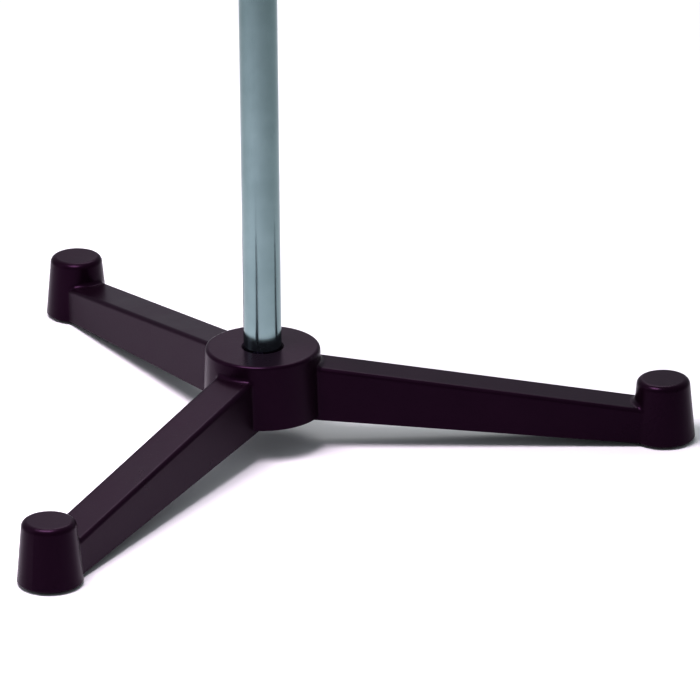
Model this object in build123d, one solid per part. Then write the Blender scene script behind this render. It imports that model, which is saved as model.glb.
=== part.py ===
from build123d import *
import os
from math import cos, hypot, radians, sin, sqrt, tan

# Trumpet stand: a cast three-leg base, a chromed tube that screws into its hub, and a cone that the
# bell of the trumpet drops over. Millimetres and degrees, +Z up. The origin is on the floor, under
# the middle of the hub. The first leg points along +X.

# ------------------------------------------------------------------ driving dimensions
# Base casting
LEG_COUNT = 3
FOOT_REACH = 133.6            # hub axis to foot axis
HUB_CLEARANCE = 11.9          # floor to the underside of the hub
HUB_HEIGHT = 22.4
HUB_TOP_R = 19.2
HUB_UNDER_R = 20.0
HUB_RIM_ROUND = 1.2
HUB_ROOF = 4.5                # metal left above the core between nut boss and hub wall
HUB_WALL = 2.8
NUT_BOSS_R = 12.0
LEG_HALF_WIDTH = 6.9          # half the width of a leg's flat top
LEG_DRAFT = 2.2               # slope of a leg's sides, so that the casting leaves its mould
LEG_STEP = 5.5                # hub top down to the leg's top, at the hub wall
LEG_TOP_AT_FOOT = 13.3        # height of the leg's top where it meets the foot
LEG_UNDER_AT_HUB = 10.5
LEG_UNDER_AT_FOOT = 1.4
LEG_WALL = 2.6
CORE_DEPTH_SPARE = 2.6         # how far a leg's core runs out past its underside
LEG_ROOF = 3.0
LEG_POCKETS = 3               # hollows under each leg, with a cross rib between each two
RIB = 2.4
JOINT_ROUND = 1.5             # fillet at both ends of a leg, and along its top edges
FOOT_TOP_Z = 21.8
FOOT_TOP_R = 8.8
FOOT_UNDER_R = 10.8
FOOT_RIM_ROUND = 2.1
FOOT_EDGE_ROUND = 0.6
FOOT_CORE_R = 5.2
FOOT_ROOF = 4.0

# Rubber pads under the feet
PAD_PROUD = 0.8               # how far a pad stands out below the casting
PAD_R = 7.5
PAD_SEAT = 2.4                # depth of the seat that the pad is glued into
PAD_CHAMFER = 0.5
PAD_DIMPLE_R = 2.5
PAD_DIMPLE = 0.6

# Upright tube and what is pressed into its ends
TUBE_OD = 12.7
TUBE_WALL = 1.2
TUBE_SHOWN = 138.0            # bare tube between the hub and the cone
SOCKET_DEPTH = 10.3
SOCKET_CHAMFER = 0.7
STUD_R = 4.0                  # M8 x 1.25 thread on the foot plug
THREAD_PITCH = 1.25
THREAD_TURNS = 5              # turns of the stud inside its nut
FOOT_PLUG_LENGTH = 18.0
TOP_PLUG_LENGTH = 14.0
STUD_CHAMFER = 0.8
SEAT_RING_THICKNESS = 1.0
PIN_R = 1.25                  # slotted spring pin across tube and foot plug
PIN_WALL = 0.45
PIN_SLOT = 0.5
PIN_HEIGHT = 4.6              # above the tube's lower end
PIN_SHY = 0.4                 # pin end to tube surface

# Nut and its cover under the hub
NUT_ACROSS_FLATS = 13.0
NUT_HEIGHT = 6.5
SOCKET_WEB = 3.5              # metal between the tube's socket and the nut's pocket
COVER_R = 9.0
COVER_THICKNESS = 1.6
COVER_GAP = 0.2               # nut to cover
COVER_NOTCH = 1.6

# Bell cone
CONE_HEIGHT = 72.0
CONE_BASE_R = 22.0
CONE_TOP_R = 10.8
CONE_BAND = 3.0               # straight band at the cone's lower edge
CONE_TOP_ROUND = 2.0
CONE_BAND_ROUND = 0.8
CONE_SHELL = 2.4
CONE_WEB = 4.0                # floor of the screw's pocket, which sits on the tube's upper end
SLEEVE_WALL = 2.2
CONE_RIBS = 4
CONE_RIB = 1.8
CONE_RIB_RISE = 5.0           # cone's lower edge to the ribs
GRIP_HEIGHTS = {"lower": 14.4, "middle": 34.6, "upper": 54.7}   # grip rings above the cone's lower edge
GRIP_R = 1.5                  # radius of a grip ring's round section
GRIP_SINK = 0.4               # how deep the section's middle lies in the cone's surface

# Screw stack in the top of the cone
SCREW_R = 2.5                 # M5
SCREW_ENGAGED = 9.0
SCREW_HEAD_R = 4.75
SCREW_HEAD = 3.6
SCREW_SOCKET_ACROSS = 4.0
SCREW_SOCKET = 2.2
SCREW_HEAD_EDGE = 0.4
WASHER_R = 5.0
WASHER_THICKNESS = 1.0
LOCK_R = 4.6
LOCK_THICKNESS = 1.2
LOCK_SPLIT = 1.0
POCKET_R = 6.6
HEAD_ROOM = 0.4               # screw head to cap
CAP_PLUG = 2.0
CAP_LIP = 1.0                 # how far the cap's head overlaps the cone's top
CAP_EDGE = 0.8
CAP_CROWN = 1.0

# Named clearances
SOCKET_GAP = 0.08             # tube in the hub's socket, a hand fit
THREAD_GAP = 0.05             # stands in for the thread's own play
STUD_GAP = 0.35               # stud in the hub's plain hole and in the seat ring
RING_GAP = 0.30               # seat ring to socket wall
PRESS_GAP = 0.02              # plugs and pin pressed into the tube
SEAT_GAP = 0.05               # glued or snapped pieces in their seats
NUT_GAP = 0.15

# ------------------------------------------------------------------ worked-out values
HUB_TOP_Z = HUB_CLEARANCE + HUB_HEIGHT
SOCKET_FLOOR_Z = HUB_TOP_Z - SOCKET_DEPTH
TUBE_FOOT_Z = SOCKET_FLOOR_Z + SEAT_RING_THICKNESS
TUBE_R = TUBE_OD / 2
TUBE_BORE_R = TUBE_R - TUBE_WALL
SOCKET_R = TUBE_R + SOCKET_GAP
PLUG_R = TUBE_BORE_R - PRESS_GAP
NUT_TOP_Z = SOCKET_FLOOR_Z - SOCKET_WEB
NUT_UNDER_Z = NUT_TOP_Z - NUT_HEIGHT
STUD_END_Z = NUT_TOP_Z - THREAD_TURNS * THREAD_PITCH
COVER_TOP_Z = NUT_UNDER_Z - COVER_GAP
PIN_Z = TUBE_FOOT_Z + PIN_HEIGHT
CONE_FOOT_Z = HUB_TOP_Z + TUBE_SHOWN
CONE_TOP_Z = CONE_FOOT_Z + CONE_HEIGHT
WASHER_STACK = WASHER_THICKNESS + LOCK_THICKNESS
POCKET_DEPTH = WASHER_STACK + SCREW_HEAD + HEAD_ROOM + CAP_PLUG
POCKET_FLOOR_Z = CONE_TOP_Z - POCKET_DEPTH
TUBE_TOP_Z = POCKET_FLOOR_Z - CONE_WEB
SLEEVE_R = TUBE_R + SEAT_GAP + SLEEVE_WALL
LEG_TURN = 360 / LEG_COUNT

UP = (Align.CENTER, Align.CENTER, Align.MIN)      # a solid that stands on the point it is placed at
NEAR = 0.001                                      # two heights closer than this are the same


# ------------------------------------------------------------------ shared shapes
def post(radius, low, high, x=0.0):
    """A round post from height low to height high, standing over x."""
    return Pos(x, 0, low) * Cylinder(radius, high - low, align=UP)


def edges_at(shape, height):
    """The edges that lie level at a height."""
    return shape.edges().filter_by_position(Axis.Z, height - NEAR, height + NEAR)


def around(shape, count):
    """The shape, repeated count times around the hub axis."""
    return [Rot(0, 0, turn * 360 / count) * shape for turn in range(count)]


def hexagon_post(across_flats, low, high):
    """A six-sided post, with flats facing +Y and -Y."""
    outline = RegularPolygon(across_flats / 2, 6, major_radius=False)
    return Pos(0, 0, low) * extrude(outline, high - low)


def turned(outline):
    """The solid that an outline of (radius, height) points makes when it turns about the hub axis."""
    return revolve(Plane.XZ * Polygon(*outline, align=None), Axis.Z)


# ------------------------------------------------------------------ base casting
def along(distance, at_hub, at_foot):
    """A height that runs straight from at_hub, at the hub wall, to at_foot, at the foot's wall."""
    start = HUB_TOP_R
    end = FOOT_REACH - FOOT_TOP_R
    return at_hub + (at_foot - at_hub) * (distance - start) / (end - start)


def leg_block(start, end, inset, roof, sink):
    """A stretch of leg between two distances from the hub axis, with planar, drafted sides.

    inset narrows it on each side, roof lowers its top and sink lowers its underside, so the same
    function makes the leg and the hollows under it.
    """
    ends = []
    for distance in (start, end):
        top = along(distance, HUB_TOP_Z - LEG_STEP, LEG_TOP_AT_FOOT) - roof
        under = along(distance, LEG_UNDER_AT_HUB, LEG_UNDER_AT_FOOT) - sink
        narrow = LEG_HALF_WIDTH - inset
        wide = narrow + (top - under) * tan(radians(LEG_DRAFT))
        corners = [(-wide, under), (wide, under), (narrow, top), (-narrow, top)]
        ends.append([(distance, across, height) for across, height in corners])
    near, far = ends
    faces = [near, far]
    for corner in range(4):
        following = (corner + 1) % 4
        faces.append([near[corner], near[following], far[following], far[corner]])
    return Solid(Shell([Face(Wire.make_polygon(face, close=True)) for face in faces]))


def leg_hollows():
    """The open pockets under one leg, with cross ribs left between them."""
    start = HUB_UNDER_R + LEG_WALL
    end = FOOT_REACH - FOOT_UNDER_R - LEG_WALL
    pitch = (end - start + RIB) / LEG_POCKETS
    starts = [start + number * pitch for number in range(LEG_POCKETS)]
    return [leg_block(low, low + pitch - RIB, LEG_WALL, LEG_ROOF, CORE_DEPTH_SPARE) for low in starts]


def foot_distance(point):
    """Distance from a point to the nearest foot axis, seen from above."""
    turns = [radians(number * LEG_TURN) for number in range(LEG_COUNT)]
    return min(hypot(point.X - FOOT_REACH * cos(a), point.Y - FOOT_REACH * sin(a)) for a in turns)


def rounded_outside(casting):
    """Rounds the leg ends, the legs' top edges, and the rims of the hub and the feet."""
    conics = (GeomType.ELLIPSE, GeomType.HYPERBOLA)
    blends = ShapeList()
    for edge in casting.edges():
        middle = edge @ 0.5
        from_axis = hypot(middle.X, middle.Y)
        from_foot = foot_distance(middle)
        if edge.geom_type in conics and HUB_TOP_R - JOINT_ROUND < from_axis < HUB_UNDER_R + JOINT_ROUND:
            blends.append(edge)
        elif edge.geom_type in conics and from_foot < FOOT_UNDER_R and middle.Z > LEG_ROOF:
            blends.append(edge)
        elif edge.geom_type == GeomType.LINE and edge.length > FOOT_REACH / 2:
            if middle.Z > along(from_axis, LEG_UNDER_AT_HUB, LEG_UNDER_AT_FOOT) + LEG_ROOF:
                blends.append(edge)
    casting = fillet(blends, JOINT_ROUND)
    hub_rim = edges_at(casting, HUB_TOP_Z)
    casting = fillet(hub_rim, HUB_RIM_ROUND)
    foot_rims = edges_at(casting, FOOT_TOP_Z)
    foot_rims = foot_rims.filter_by(lambda edge: foot_distance(edge.arc_center) < FOOT_TOP_R)
    casting = fillet(foot_rims, FOOT_RIM_ROUND)
    return casting


def base_casting():
    """Hub, three legs and three feet in one casting, cored out from below."""
    hub = Pos(0, 0, HUB_CLEARANCE) * Cone(HUB_UNDER_R, HUB_TOP_R, HUB_HEIGHT, align=UP)
    casting = Rot(0, 0, LEG_TURN / 2) * hub
    foot = Pos(FOOT_REACH, 0, PAD_PROUD) * Cone(
        FOOT_UNDER_R, FOOT_TOP_R, FOOT_TOP_Z - PAD_PROUD, align=UP
    )
    foot_edge = edges_at(foot, PAD_PROUD)
    foot = fillet(foot_edge, FOOT_EDGE_ROUND)
    leg_start = NUT_BOSS_R
    leg_end = FOOT_REACH - FOOT_CORE_R
    leg = leg_block(leg_start, leg_end, 0, 0, 0)
    for arm in around(leg + foot, LEG_COUNT):
        casting = casting + arm
    casting = rounded_outside(casting)

    # Cores under the legs, the feet and the hub
    for hollow in leg_hollows():
        for turned_hollow in around(hollow, LEG_COUNT):
            casting = casting - turned_hollow
    seat_top = PAD_PROUD + PAD_SEAT
    foot_core = post(PAD_R + SEAT_GAP, 0, seat_top, FOOT_REACH)
    foot_core = foot_core + post(FOOT_CORE_R, 0, FOOT_TOP_Z - FOOT_ROOF, FOOT_REACH)
    for core in around(foot_core, LEG_COUNT):
        casting = casting - core
    hub_core = post(HUB_TOP_R - HUB_WALL, 0, HUB_TOP_Z - HUB_ROOF)
    hub_core = hub_core - post(NUT_BOSS_R, 0, HUB_TOP_Z)
    spoke = Box(HUB_UNDER_R, RIB, HUB_TOP_Z, align=(Align.MIN, Align.CENTER, Align.MIN))
    for web in around(spoke, LEG_COUNT):
        hub_core = hub_core - web
    casting = casting - hub_core

    # Socket for the tube, hole for the stud, pocket for the nut and seat for its cover
    casting = casting - post(SOCKET_R, SOCKET_FLOOR_Z, HUB_TOP_Z)
    mouth = Cone(SOCKET_R, SOCKET_R + SOCKET_CHAMFER, SOCKET_CHAMFER, align=UP)
    casting = casting - Pos(0, 0, HUB_TOP_Z - SOCKET_CHAMFER) * mouth
    casting = casting - post(STUD_R + STUD_GAP, 0, HUB_TOP_Z)
    casting = casting - hexagon_post(NUT_ACROSS_FLATS + 2 * NUT_GAP, 0, NUT_TOP_Z)
    casting = casting - post(COVER_R + SEAT_GAP, 0, COVER_TOP_Z)
    return casting


def foot_pad():
    """A rubber disc under the first foot, with a moulded dimple in its face."""
    pad = post(PAD_R, 0, PAD_PROUD + PAD_SEAT, FOOT_REACH)
    lower_edge = edges_at(pad, 0)
    pad = chamfer(lower_edge, PAD_CHAMFER)
    return pad - post(PAD_DIMPLE_R, 0, PAD_DIMPLE, FOOT_REACH)


# ------------------------------------------------------------------ nut and cover
def stud_nut():
    """Hexagon nut held in the hub's pocket, with its corners turned off at both faces."""
    nut = hexagon_post(NUT_ACROSS_FLATS, NUT_UNDER_Z, NUT_TOP_Z)
    corner_r = NUT_ACROSS_FLATS / 2 / cos(radians(30))
    blank = post(corner_r, NUT_UNDER_Z, NUT_TOP_Z)
    nut = nut & chamfer(blank.edges().filter_by(GeomType.CIRCLE), corner_r - NUT_ACROSS_FLATS / 2)
    return nut - post(STUD_R + THREAD_GAP, NUT_UNDER_Z, NUT_TOP_Z)


def nut_cover():
    """Plastic disc snapped in under the nut, with a notch to prise it out."""
    cover = post(COVER_R, COVER_TOP_Z - COVER_THICKNESS, COVER_TOP_Z)
    notch = Box(COVER_NOTCH, 2 * COVER_NOTCH, COVER_THICKNESS, align=UP)
    return cover - Pos(0, COVER_R, COVER_TOP_Z - COVER_THICKNESS) * notch


# ------------------------------------------------------------------ upright
def seat_ring():
    """Nylon ring at the bottom of the socket, that the tube is screwed down on."""
    ring = post(SOCKET_R - RING_GAP, SOCKET_FLOOR_Z, TUBE_FOOT_Z)
    return ring - post(STUD_R + STUD_GAP, SOCKET_FLOOR_Z, TUBE_FOOT_Z)


def pin_hole():
    """The hole that the spring pin goes through, along X."""
    return Pos(0, 0, PIN_Z) * Rot(0, 90, 0) * Cylinder(PIN_R + PRESS_GAP, 2 * TUBE_OD)


def upright_tube():
    """Chromed steel tube, drilled across its lower end for the spring pin."""
    tube = post(TUBE_R, TUBE_FOOT_Z, TUBE_TOP_Z) - post(TUBE_BORE_R, TUBE_FOOT_Z, TUBE_TOP_Z)
    return tube - pin_hole()


def foot_plug():
    """Turned plug in the tube's lower end, with the threaded stud below it."""
    plug = post(PLUG_R, TUBE_FOOT_Z, TUBE_FOOT_Z + FOOT_PLUG_LENGTH)
    stud = post(STUD_R, STUD_END_Z, TUBE_FOOT_Z)
    stud = chamfer(edges_at(stud, STUD_END_Z), STUD_CHAMFER)
    return plug + stud - pin_hole()


def spring_pin():
    """Slotted spring pin that stops the plug turning in the tube."""
    length = TUBE_OD - 2 * PIN_SHY
    pin = Cylinder(PIN_R, length) - Cylinder(PIN_R - PIN_WALL, length)
    pin = pin - Pos(PIN_R, 0, 0) * Box(2 * PIN_R, PIN_SLOT, length)
    return Pos(0, 0, PIN_Z) * Rot(0, 90, 0) * pin


def top_plug():
    """Turned plug in the tube's upper end, tapped for the cone's screw."""
    plug = post(PLUG_R, TUBE_TOP_Z - TOP_PLUG_LENGTH, TUBE_TOP_Z)
    return plug - post(SCREW_R + THREAD_GAP, TUBE_TOP_Z - TOP_PLUG_LENGTH, TUBE_TOP_Z)


# ------------------------------------------------------------------ bell cone
def cone_radius(height):
    """Outer radius of the cone's slope at a height above its lower edge."""
    return CONE_BASE_R + (CONE_TOP_R - CONE_BASE_R) * (height - CONE_BAND) / (CONE_HEIGHT - CONE_BAND)


def grip_torus(height, section):
    """A round ring about the cone, at a height above its lower edge."""
    return Pos(0, 0, CONE_FOOT_Z + height) * Torus(cone_radius(height) - GRIP_SINK, section)


def bell_cone():
    """Moulded cone: outer shell, sleeve over the tube, ribs between, pocket for the screw on top."""
    foot = CONE_FOOT_Z
    web_under = CONE_TOP_Z - POCKET_DEPTH - CONE_WEB
    shell_top = CONE_TOP_Z - CONE_BAND
    cone = turned(
        [(0, foot), (CONE_BASE_R, foot), (CONE_BASE_R, foot + CONE_BAND), (CONE_TOP_R, CONE_TOP_Z),
         (0, CONE_TOP_Z)]
    )
    cone = fillet(edges_at(cone, CONE_TOP_Z), CONE_TOP_ROUND)
    cone = fillet(edges_at(cone, foot), CONE_BAND_ROUND)
    inner_top = cone_radius(web_under - foot) - CONE_SHELL
    hollow = turned(
        [(SLEEVE_R, foot), (CONE_BASE_R - CONE_SHELL, foot),
         (CONE_BASE_R - CONE_SHELL, foot + CONE_BAND), (inner_top, web_under), (SLEEVE_R, web_under)]
    )
    rib = Pos(0, 0, foot + CONE_RIB_RISE) * Box(
        CONE_BASE_R, CONE_RIB, shell_top - foot, align=(Align.MIN, Align.CENTER, Align.MIN)
    )
    for web in around(rib, CONE_RIBS):
        hollow = hollow - web
    cone = cone - hollow
    cone = cone - post(TUBE_R + SEAT_GAP, foot, TUBE_TOP_Z)
    cone = cone - post(SCREW_R + STUD_GAP, foot, CONE_TOP_Z)
    cone = cone - post(POCKET_R, POCKET_FLOOR_Z, CONE_TOP_Z)
    for height in GRIP_HEIGHTS.values():
        cone = cone - grip_torus(height, GRIP_R + SEAT_GAP)
    return cone


def cone_washer():
    """Flat washer on the floor of the cone's pocket."""
    top = POCKET_FLOOR_Z + WASHER_THICKNESS
    return post(WASHER_R, POCKET_FLOOR_Z, top) - post(SCREW_R + STUD_GAP, POCKET_FLOOR_Z, top)


def lock_washer():
    """Split spring washer between the flat washer and the screw's head."""
    low = POCKET_FLOOR_Z + WASHER_THICKNESS
    high = low + LOCK_THICKNESS
    ring = post(LOCK_R, low, high) - post(SCREW_R + STUD_GAP, low, high)
    split = Box(LOCK_R, LOCK_SPLIT, LOCK_THICKNESS, align=(Align.MIN, Align.CENTER, Align.MIN))
    return ring - Pos(0, 0, low) * split


def cone_screw():
    """Socket-head screw through the cone's web into the top plug."""
    head_under = POCKET_FLOOR_Z + WASHER_STACK
    head_top = head_under + SCREW_HEAD
    head = post(SCREW_HEAD_R, head_under, head_top)
    head = chamfer(edges_at(head, head_top), SCREW_HEAD_EDGE)
    shank = post(SCREW_R, TUBE_TOP_Z - SCREW_ENGAGED, head_under)
    return head + shank - hexagon_post(SCREW_SOCKET_ACROSS, head_top - SCREW_SOCKET, head_top)


def cone_cap():
    """Snap-in cap over the screw, with a low crown."""
    lip = POCKET_R + CAP_LIP
    rim = CONE_TOP_Z + CAP_EDGE
    crown = CONE_TOP_Z + CAP_EDGE + CAP_CROWN
    outline = Polyline((lip, rim), (lip, CONE_TOP_Z), (0, CONE_TOP_Z), (0, crown))
    dome_r = (lip**2 + CAP_CROWN**2) / (2 * CAP_CROWN)
    half_way = (lip / 2, crown - dome_r + sqrt(dome_r**2 - (lip / 2) ** 2))
    dome = ThreePointArc((0, crown), half_way, (lip, rim))
    head = revolve(Plane.XZ * make_face(outline + dome), Axis.Z)
    return head + post(POCKET_R - SEAT_GAP, CONE_TOP_Z - CAP_PLUG, CONE_TOP_Z)


# ------------------------------------------------------------------ write one file per piece
def pieces():
    """Every piece of the stand, by node name."""
    right_pad, left_pad, front_pad = around(foot_pad(), LEG_COUNT)
    parts = {
        "base_casting": base_casting(),
        "foot_pad_right": right_pad,
        "foot_pad_left": left_pad,
        "foot_pad_front": front_pad,
        "stud_nut": stud_nut(),
        "nut_cover": nut_cover(),
        "seat_ring": seat_ring(),
        "upright_tube": upright_tube(),
        "foot_plug": foot_plug(),
        "spring_pin": spring_pin(),
        "top_plug": top_plug(),
        "bell_cone": bell_cone(),
        "cone_washer": cone_washer(),
        "lock_washer": lock_washer(),
        "cone_screw": cone_screw(),
        "cone_cap": cone_cap(),
    }
    for name, height in GRIP_HEIGHTS.items():
        parts["grip_ring_" + name] = grip_torus(height, GRIP_R)
    return parts


os.makedirs("parts", exist_ok=True)
for node, shape in pieces().items():
    export_step(shape, "parts/" + node + ".step")
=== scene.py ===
from math import cos, radians, sin, tan

import bmesh
import bpy
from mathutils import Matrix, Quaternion, Vector


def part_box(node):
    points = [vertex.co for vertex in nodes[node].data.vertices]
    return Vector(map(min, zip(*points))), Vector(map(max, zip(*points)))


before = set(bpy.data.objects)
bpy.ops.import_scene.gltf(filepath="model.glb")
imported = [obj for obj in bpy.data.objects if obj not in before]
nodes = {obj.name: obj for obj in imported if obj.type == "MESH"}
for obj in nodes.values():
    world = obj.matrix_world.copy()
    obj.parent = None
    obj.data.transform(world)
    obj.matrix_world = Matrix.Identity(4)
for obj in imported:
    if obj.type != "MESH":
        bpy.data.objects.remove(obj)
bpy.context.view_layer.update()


# ---------------------------------------------------------------- base casting
# Hub, three legs and three feet in one zinc casting, cored out underneath. It is sprayed with black
# enamel that has an aubergine cast and baked, so it has a faint orange peel, and dust settles on top.
ENAMEL = (0.008, 0.0018, 0.0066, 1)
ENAMEL_THIN = (0.011, 0.0028, 0.0090, 1)
ENAMEL_TINT = (1.0, 0.55, 1.0, 1)
DUST = (0.34, 0.31, 0.33, 1)


def new_group(name, inputs, outputs):
    """An empty shader node group, with its own input and output nodes, ready to be wired."""
    group = bpy.data.node_groups.new(name, "ShaderNodeTree")
    for label, kind, value in inputs:
        socket = group.interface.new_socket(label, in_out="INPUT", socket_type=kind)
        if value is not None:
            socket.default_value = value
    for label in outputs:
        group.interface.new_socket(label, in_out="OUTPUT", socket_type="NodeSocketFloat")
    return group, group.nodes.new("NodeGroupInput"), group.nodes.new("NodeGroupOutput")


def noise(tree, place, scale, detail, roughness):
    """Cloudy noise at a scale, which is a number or another socket."""
    node = tree.nodes.new("ShaderNodeTexNoise")
    tree.links.new(place, node.inputs["Vector"])
    if isinstance(scale, float):
        node.inputs["Scale"].default_value = scale
    else:
        tree.links.new(scale, node.inputs["Scale"])
    node.inputs["Detail"].default_value = detail
    node.inputs["Roughness"].default_value = roughness
    return node.outputs["Fac"]


def between(tree, value, low, high, start=0.0, stop=1.0):
    """A number that goes from low to high while the value goes from start to stop, either way up."""
    node = tree.nodes.new("ShaderNodeMapRange")
    tree.links.new(value, node.inputs["Value"])
    node.inputs["From Min"].default_value = start
    node.inputs["From Max"].default_value = stop
    node.inputs["To Min"].default_value = low
    node.inputs["To Max"].default_value = high
    return node.outputs["Result"]


def combine(tree, operation, first, second):
    """One sum, product or other working of two values."""
    node = tree.nodes.new("ShaderNodeMath")
    node.operation = operation
    tree.links.new(first, node.inputs[0])
    tree.links.new(second, node.inputs[1])
    return node.outputs["Value"]


def surface_grain():
    """Unevenness of a finished surface: a fine height for bumps and a broad mask for colour."""
    group, entry, result = new_group(
        "surface_grain",
        [
            ("Vector", "NodeSocketVector", None),
            ("Fine Scale", "NodeSocketFloat", 900.0),
            ("Broad Scale", "NodeSocketFloat", 60.0),
        ],
        ["Fine Height", "Broad Mask"],
    )
    place = entry.outputs["Vector"]
    fine = noise(group, place, entry.outputs["Fine Scale"], detail=3.0, roughness=0.55)
    broad = noise(group, place, entry.outputs["Broad Scale"], detail=5.0, roughness=0.6)
    mask = between(group, broad, low=0.0, high=1.0, start=0.32, stop=0.68)
    group.links.new(fine, result.inputs["Fine Height"])
    group.links.new(mask, result.inputs["Broad Mask"])
    return group


def settled_dust():
    """Where dust settles: on faces that look up, in thin clouds with a few specks."""
    group, entry, result = new_group(
        "settled_dust",
        [("Vector", "NodeSocketVector", None), ("Amount", "NodeSocketFloat", 0.2)],
        ["Mask"],
    )
    facing = group.nodes.new("ShaderNodeTexCoord")
    split = group.nodes.new("ShaderNodeSeparateXYZ")
    group.links.new(facing.outputs["Normal"], split.inputs["Vector"])
    upward = between(group, split.outputs["Z"], low=0.0, high=1.0, start=0.55, stop=1.0)
    specks = group.nodes.new("ShaderNodeTexVoronoi")
    specks.inputs["Scale"].default_value = 520.0
    group.links.new(entry.outputs["Vector"], specks.inputs["Vector"])
    grit = between(group, specks.outputs["Distance"], low=0.0, high=0.7, start=0.16, stop=0.08)
    haze = noise(group, entry.outputs["Vector"], scale=85.0, detail=6.0, roughness=0.7)
    cloud = between(group, haze, low=0.0, high=0.5)
    lying = combine(group, "MULTIPLY", combine(group, "ADD", grit, cloud), upward)
    group.links.new(combine(group, "MULTIPLY", lying, entry.outputs["Amount"]), result.inputs["Mask"])
    return group


grain = surface_grain()
dust = settled_dust()


def new_finish(name):
    """A new material: the material, its tree, its shader and its object coordinates."""
    material = bpy.data.materials.new(name)
    material.use_nodes = True
    tree = material.node_tree
    place = tree.nodes.new("ShaderNodeTexCoord")
    return material, tree, tree.nodes["Principled BSDF"], place.outputs["Object"]


def put_grain(tree, place, fine_scale, broad_scale):
    """The grain of one finish: its fine height and its broad mask."""
    node = tree.nodes.new("ShaderNodeGroup")
    node.node_tree = grain
    tree.links.new(place, node.inputs["Vector"])
    node.inputs["Fine Scale"].default_value = fine_scale
    node.inputs["Broad Scale"].default_value = broad_scale
    return node.outputs["Fine Height"], node.outputs["Broad Mask"]


def put_dust(tree, place, amount):
    """The mask of the dust on one finish."""
    node = tree.nodes.new("ShaderNodeGroup")
    node.node_tree = dust
    tree.links.new(place, node.inputs["Vector"])
    node.inputs["Amount"].default_value = amount
    return node.outputs["Mask"]


# A Mix node calls its number and colour sockets by the same names, so colours go by position.
COLOUR_A = 6
COLOUR_B = 7
COLOUR_RESULT = 2


def mix_colour(tree, mask, first, second):
    """A colour that goes from first to second with the mask."""
    node = tree.nodes.new("ShaderNodeMix")
    node.data_type = "RGBA"
    tree.links.new(mask, node.inputs["Factor"])
    for socket, value in ((node.inputs[COLOUR_A], first), (node.inputs[COLOUR_B], second)):
        if isinstance(value, tuple):
            socket.default_value = value
        else:
            tree.links.new(value, socket)
    return node.outputs[COLOUR_RESULT]


def bump_from(tree, height, depth, strength):
    """The normal that a height gives, with the bumps' depth in metres."""
    node = tree.nodes.new("ShaderNodeBump")
    node.inputs["Distance"].default_value = depth
    node.inputs["Strength"].default_value = strength
    tree.links.new(height, node.inputs["Height"])
    return node.outputs["Normal"]


def dress(node_names, material):
    """Gives CAD nodes their finish."""
    for node_name in node_names:
        shown = nodes[node_name]
        shown.data.materials.clear()
        shown.data.materials.append(material)


def baked_enamel():
    """Baked enamel on the casting, with a faint orange peel."""
    material, tree, shader, place = new_finish("baked_enamel")
    peel, thin = put_grain(tree, place, fine_scale=650.0, broad_scale=40.0)
    tone = mix_colour(tree, thin, ENAMEL, ENAMEL_THIN)
    tone = mix_colour(tree, put_dust(tree, place, amount=0.03), tone, DUST)
    tree.links.new(tone, shader.inputs["Base Color"])
    tree.links.new(between(tree, thin, low=0.27, high=0.35), shader.inputs["Roughness"])
    tree.links.new(bump_from(tree, peel, depth=0.00003, strength=0.4), shader.inputs["Normal"])
    shader.inputs["Specular IOR Level"].default_value = 0.15
    shader.inputs["Specular Tint"].default_value = ENAMEL_TINT
    return material


dress(["base_casting"], baked_enamel())


# ---------------------------------------------------------------- rubber pads and grip rings
# Black rubber, moulded. The pads are glued into the undersides of the feet. The rings are stretched
# into the grooves of the cone, where they keep the bell off the hard plastic.
RUBBER = (0.022, 0.022, 0.023, 1)
RUBBER_BLOOM = (0.046, 0.046, 0.049, 1)


def moulded_rubber():
    """Moulded rubber with a grey bloom."""
    material, tree, shader, place = new_finish("moulded_rubber")
    skin, bloom = put_grain(tree, place, fine_scale=1400.0, broad_scale=130.0)
    tone = mix_colour(tree, bloom, RUBBER, RUBBER_BLOOM)
    tone = mix_colour(tree, put_dust(tree, place, amount=0.35), tone, DUST)
    tree.links.new(tone, shader.inputs["Base Color"])
    tree.links.new(between(tree, bloom, low=0.62, high=0.8), shader.inputs["Roughness"])
    tree.links.new(bump_from(tree, skin, depth=0.00005, strength=0.6), shader.inputs["Normal"])
    return material


pads = ["foot_pad_right", "foot_pad_left", "foot_pad_front"]
rings = ["grip_ring_lower", "grip_ring_middle", "grip_ring_upper"]
dress(pads + rings, moulded_rubber())


# ---------------------------------------------------------------- upright tube
# Half-inch steel tube, polished and plated. Polishing leaves hair lines round the tube, and
# handling leaves faint smears that dull it in places.
PLATE = (0.24, 0.32, 0.32, 1)
PLATE_DULL = (0.19, 0.26, 0.26, 1)
HAIR_LINE_SQUEEZE = 14.0


def polished_plate():
    """Polished plate, dulled by handling."""
    material, tree, shader, place = new_finish("polished_plate")
    squeeze = tree.nodes.new("ShaderNodeMapping")
    squeeze.inputs["Scale"].default_value = (1, 1, HAIR_LINE_SQUEEZE)
    tree.links.new(place, squeeze.inputs["Vector"])
    lines = put_grain(tree, squeeze.outputs["Vector"], fine_scale=220.0, broad_scale=18.0)[0]
    smears = put_grain(tree, place, fine_scale=500.0, broad_scale=38.0)[1]
    tree.links.new(mix_colour(tree, smears, PLATE, PLATE_DULL), shader.inputs["Base Color"])
    tree.links.new(between(tree, smears, low=0.15, high=0.23), shader.inputs["Roughness"])
    tree.links.new(bump_from(tree, lines, depth=0.000004, strength=0.35), shader.inputs["Normal"])
    shader.inputs["Metallic"].default_value = 1.0
    return material


dress(["upright_tube"], polished_plate())


# ---------------------------------------------------------------- turned and plated fasteners
# Mild steel, turned or pressed, with bright zinc plate: the plugs in the tube's ends, the spring pin,
# the nut, the washers and the screw. The tool leaves rings round the axis.
ZINC = (0.60, 0.60, 0.58, 1)
ZINC_BLUE = (0.50, 0.54, 0.58, 1)


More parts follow.
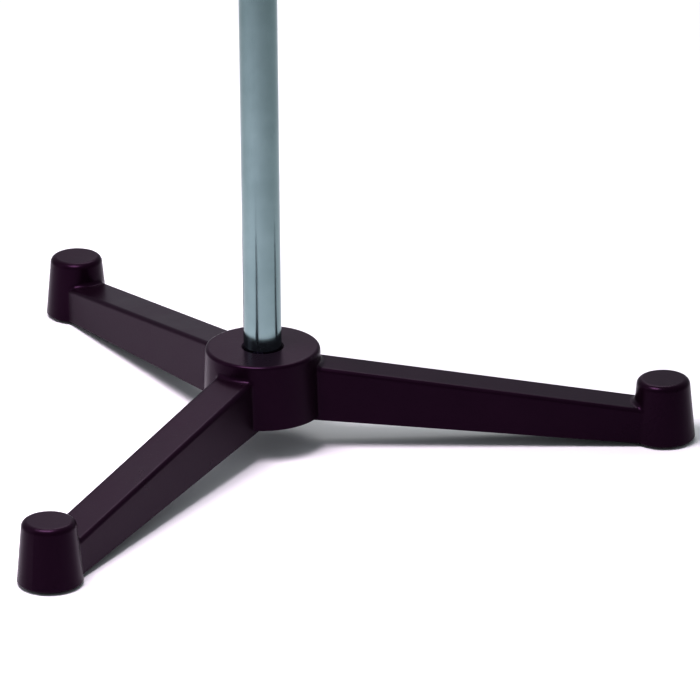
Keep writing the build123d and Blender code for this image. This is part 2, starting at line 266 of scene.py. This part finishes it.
def bright_zinc():
    """Bright zinc on turned steel."""
    material, tree, shader, place = new_finish("bright_zinc")
    turning = tree.nodes.new("ShaderNodeTexWave")
    turning.wave_type = "RINGS"
    turning.rings_direction = "Z"
    turning.inputs["Scale"].default_value = 900.0
    tree.links.new(place, turning.inputs["Vector"])
    patches = put_grain(tree, place, fine_scale=1600.0, broad_scale=260.0)[1]
    tree.links.new(mix_colour(tree, patches, ZINC, ZINC_BLUE), shader.inputs["Base Color"])
    tree.links.new(between(tree, patches, low=0.24, high=0.42), shader.inputs["Roughness"])
    rings_cut = bump_from(tree, turning.outputs["Fac"], depth=0.00001, strength=0.4)
    tree.links.new(rings_cut, shader.inputs["Normal"])
    shader.inputs["Metallic"].default_value = 1.0
    return material


plugs = ["foot_plug", "top_plug", "spring_pin"]
fixings = ["stud_nut", "cone_washer", "lock_washer", "cone_screw"]
dress(plugs + fixings, bright_zinc())


# ---------------------------------------------------------------- seat ring
# Black nylon ring, cut from rod, at the bottom of the hub's socket.
NYLON = (0.050, 0.050, 0.055, 1)
NYLON_RUBBED = (0.085, 0.085, 0.092, 1)


def black_nylon():
    """Black nylon, rubbed where the tube turns on it."""
    material, tree, shader, place = new_finish("black_nylon")
    skin, rubbed = put_grain(tree, place, fine_scale=1200.0, broad_scale=300.0)
    tree.links.new(mix_colour(tree, rubbed, NYLON, NYLON_RUBBED), shader.inputs["Base Color"])
    tree.links.new(between(tree, rubbed, low=0.35, high=0.5), shader.inputs["Roughness"])
    tree.links.new(bump_from(tree, skin, depth=0.00002, strength=0.4), shader.inputs["Normal"])
    return material


dress(["seat_ring"], black_nylon())


# ---------------------------------------------------------------- bell cone, its cap and the nut's cover
# Moulded in black plastic. Spark erosion gave the moulds a fine matt grain, which the pieces keep.
PLASTIC = (0.018, 0.018, 0.020, 1)
PLASTIC_SHINY = (0.026, 0.026, 0.029, 1)


def moulded_plastic():
    """Black plastic with a fine moulded grain."""
    material, tree, shader, place = new_finish("moulded_plastic")
    skin, shiny = put_grain(tree, place, fine_scale=1100.0, broad_scale=70.0)
    tone = mix_colour(tree, shiny, PLASTIC, PLASTIC_SHINY)
    tone = mix_colour(tree, put_dust(tree, place, amount=0.22), tone, DUST)
    tree.links.new(tone, shader.inputs["Base Color"])
    tree.links.new(between(tree, shiny, low=0.52, high=0.42), shader.inputs["Roughness"])
    tree.links.new(bump_from(tree, skin, depth=0.00006, strength=0.7), shader.inputs["Normal"])
    return material


dress(["bell_cone", "cone_cap", "nut_cover"], moulded_plastic())


# ---------------------------------------------------------------- floor and light
# A plain pale floor. One soft box hangs close above the stand, so the floor is brightest round the
# hub and dimmer further out. A small one, low behind, puts a sheen on the faces that look up, one at
# the left lights the sides of the legs, and one hangs over the floor behind to keep it pale.
FLOOR_SIZE = 12.0
FLOOR = (0.80, 0.80, 0.80, 1)
FLOOR_SCUFFED = (0.77, 0.77, 0.77, 1)
FLOOR_GAP = 0.0001      # leaves the pads free of the board, so neither shows through the other


def pale_floor():
    """Plain pale board, almost even."""
    material, tree, shader, place = new_finish("pale_floor")
    tooth, scuffs = put_grain(tree, place, fine_scale=300.0, broad_scale=3.0)
    tree.links.new(mix_colour(tree, scuffs, FLOOR, FLOOR_SCUFFED), shader.inputs["Base Color"])
    tree.links.new(bump_from(tree, tooth, depth=0.00002, strength=0.2), shader.inputs["Normal"])
    shader.inputs["Roughness"].default_value = 0.9
    shader.inputs["Specular IOR Level"].default_value = 0.1
    return material


board = bmesh.new()
bmesh.ops.create_grid(board, x_segments=1, y_segments=1, size=FLOOR_SIZE / 2)
bmesh.ops.translate(board, vec=(0, 0, -FLOOR_GAP), verts=board.verts)
floor_mesh = bpy.data.meshes.new("floor")
board.to_mesh(floor_mesh)
board.free()
floor = bpy.data.objects.new("floor", floor_mesh)
floor_mesh.materials.append(pale_floor())
bpy.context.scene.collection.objects.link(floor)


def soft_box(name, place, aim, size, power, colour):
    """A square soft box at a place, turned towards its aim."""
    lamp = bpy.data.lights.new(name, "AREA")
    lamp.size = size
    lamp.energy = power
    lamp.color = colour
    holder = bpy.data.objects.new(name, lamp)
    holder.location = place
    holder.rotation_mode = "QUATERNION"
    holder.rotation_quaternion = (Vector(aim) - Vector(place)).to_track_quat("-Z", "Y")
    bpy.context.scene.collection.objects.link(holder)


hub_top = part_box("base_casting")[1].z
soft_box(
    "overhead",
    place=(-0.13, -0.14, 0.50),
    aim=(-0.08, 0.0, 0.0),
    size=0.26,
    power=2.9,
    colour=(1.0, 0.88, 1.0),
)
soft_box(
    "low_behind",
    place=(-0.02, 1.30, 0.57),
    aim=(0.0, 0.0, hub_top),
    size=0.22,
    power=0.10,
    colour=(1.0, 0.80, 0.95),
)
soft_box(
    "left_side",
    place=(-1.10, -0.10, 0.50),
    aim=(0.0, 0.0, hub_top),
    size=0.60,
    power=1.0,
    colour=(0.95, 0.90, 1.0),
)
soft_box(
    "backdrop",
    place=(0.05, 0.62, 0.75),
    aim=(0.05, 0.62, 0.0),
    size=0.50,
    power=2.2,
    colour=(1.0, 1.0, 1.0),
)

ROOM = (0.90, 0.95, 1.0, 1)
ROOM_STRENGTH = 0.42
room = bpy.data.worlds.new("room")
room.use_nodes = True
ambient = room.node_tree.nodes["Background"]
ambient.inputs["Color"].default_value = ROOM
ambient.inputs["Strength"].default_value = ROOM_STRENGTH
bpy.context.scene.world = room


# ---------------------------------------------------------------- camera
# The camera stands well back with a long lens, a degree to the right of the stand's front. It looks
# down at 22 degrees and is rolled by half a degree.
CAMERA_BACK = 2.381
CAMERA_RISE = radians(22.12)
CAMERA_ROUND = radians(1.09)
CAMERA_ROLL = radians(-0.51)
AIM_HEIGHT = 0.0324
CAMERA_TURN = radians(0.70)
AIM_RIGHT = CAMERA_BACK * tan(CAMERA_TURN)
LENS = 367.4
SENSOR = 36.0

level = Vector((sin(CAMERA_ROUND), -cos(CAMERA_ROUND), 0))
towards = level * cos(CAMERA_RISE) + Vector((0, 0, sin(CAMERA_RISE)))
right = Vector((cos(CAMERA_ROUND), sin(CAMERA_ROUND), 0))
lens = bpy.data.cameras.new("camera")
lens.lens = LENS
lens.sensor_width = SENSOR
lens.clip_start = 0.01
lens.clip_end = 50.0
camera = bpy.data.objects.new("camera", lens)
camera.location = Vector((0, 0, AIM_HEIGHT)) + towards * CAMERA_BACK
aim = Vector((0, 0, AIM_HEIGHT)) + right * AIM_RIGHT
camera.rotation_mode = "QUATERNION"
looking = (aim - camera.location).to_track_quat("-Z", "Y")
camera.rotation_quaternion = looking @ Quaternion((0, 0, 1), CAMERA_ROLL)
bpy.context.scene.collection.objects.link(camera)
bpy.context.scene.camera = camera
bpy.context.scene.view_settings.view_transform = "Standard"
bpy.context.scene.view_settings.look = "High Contrast"
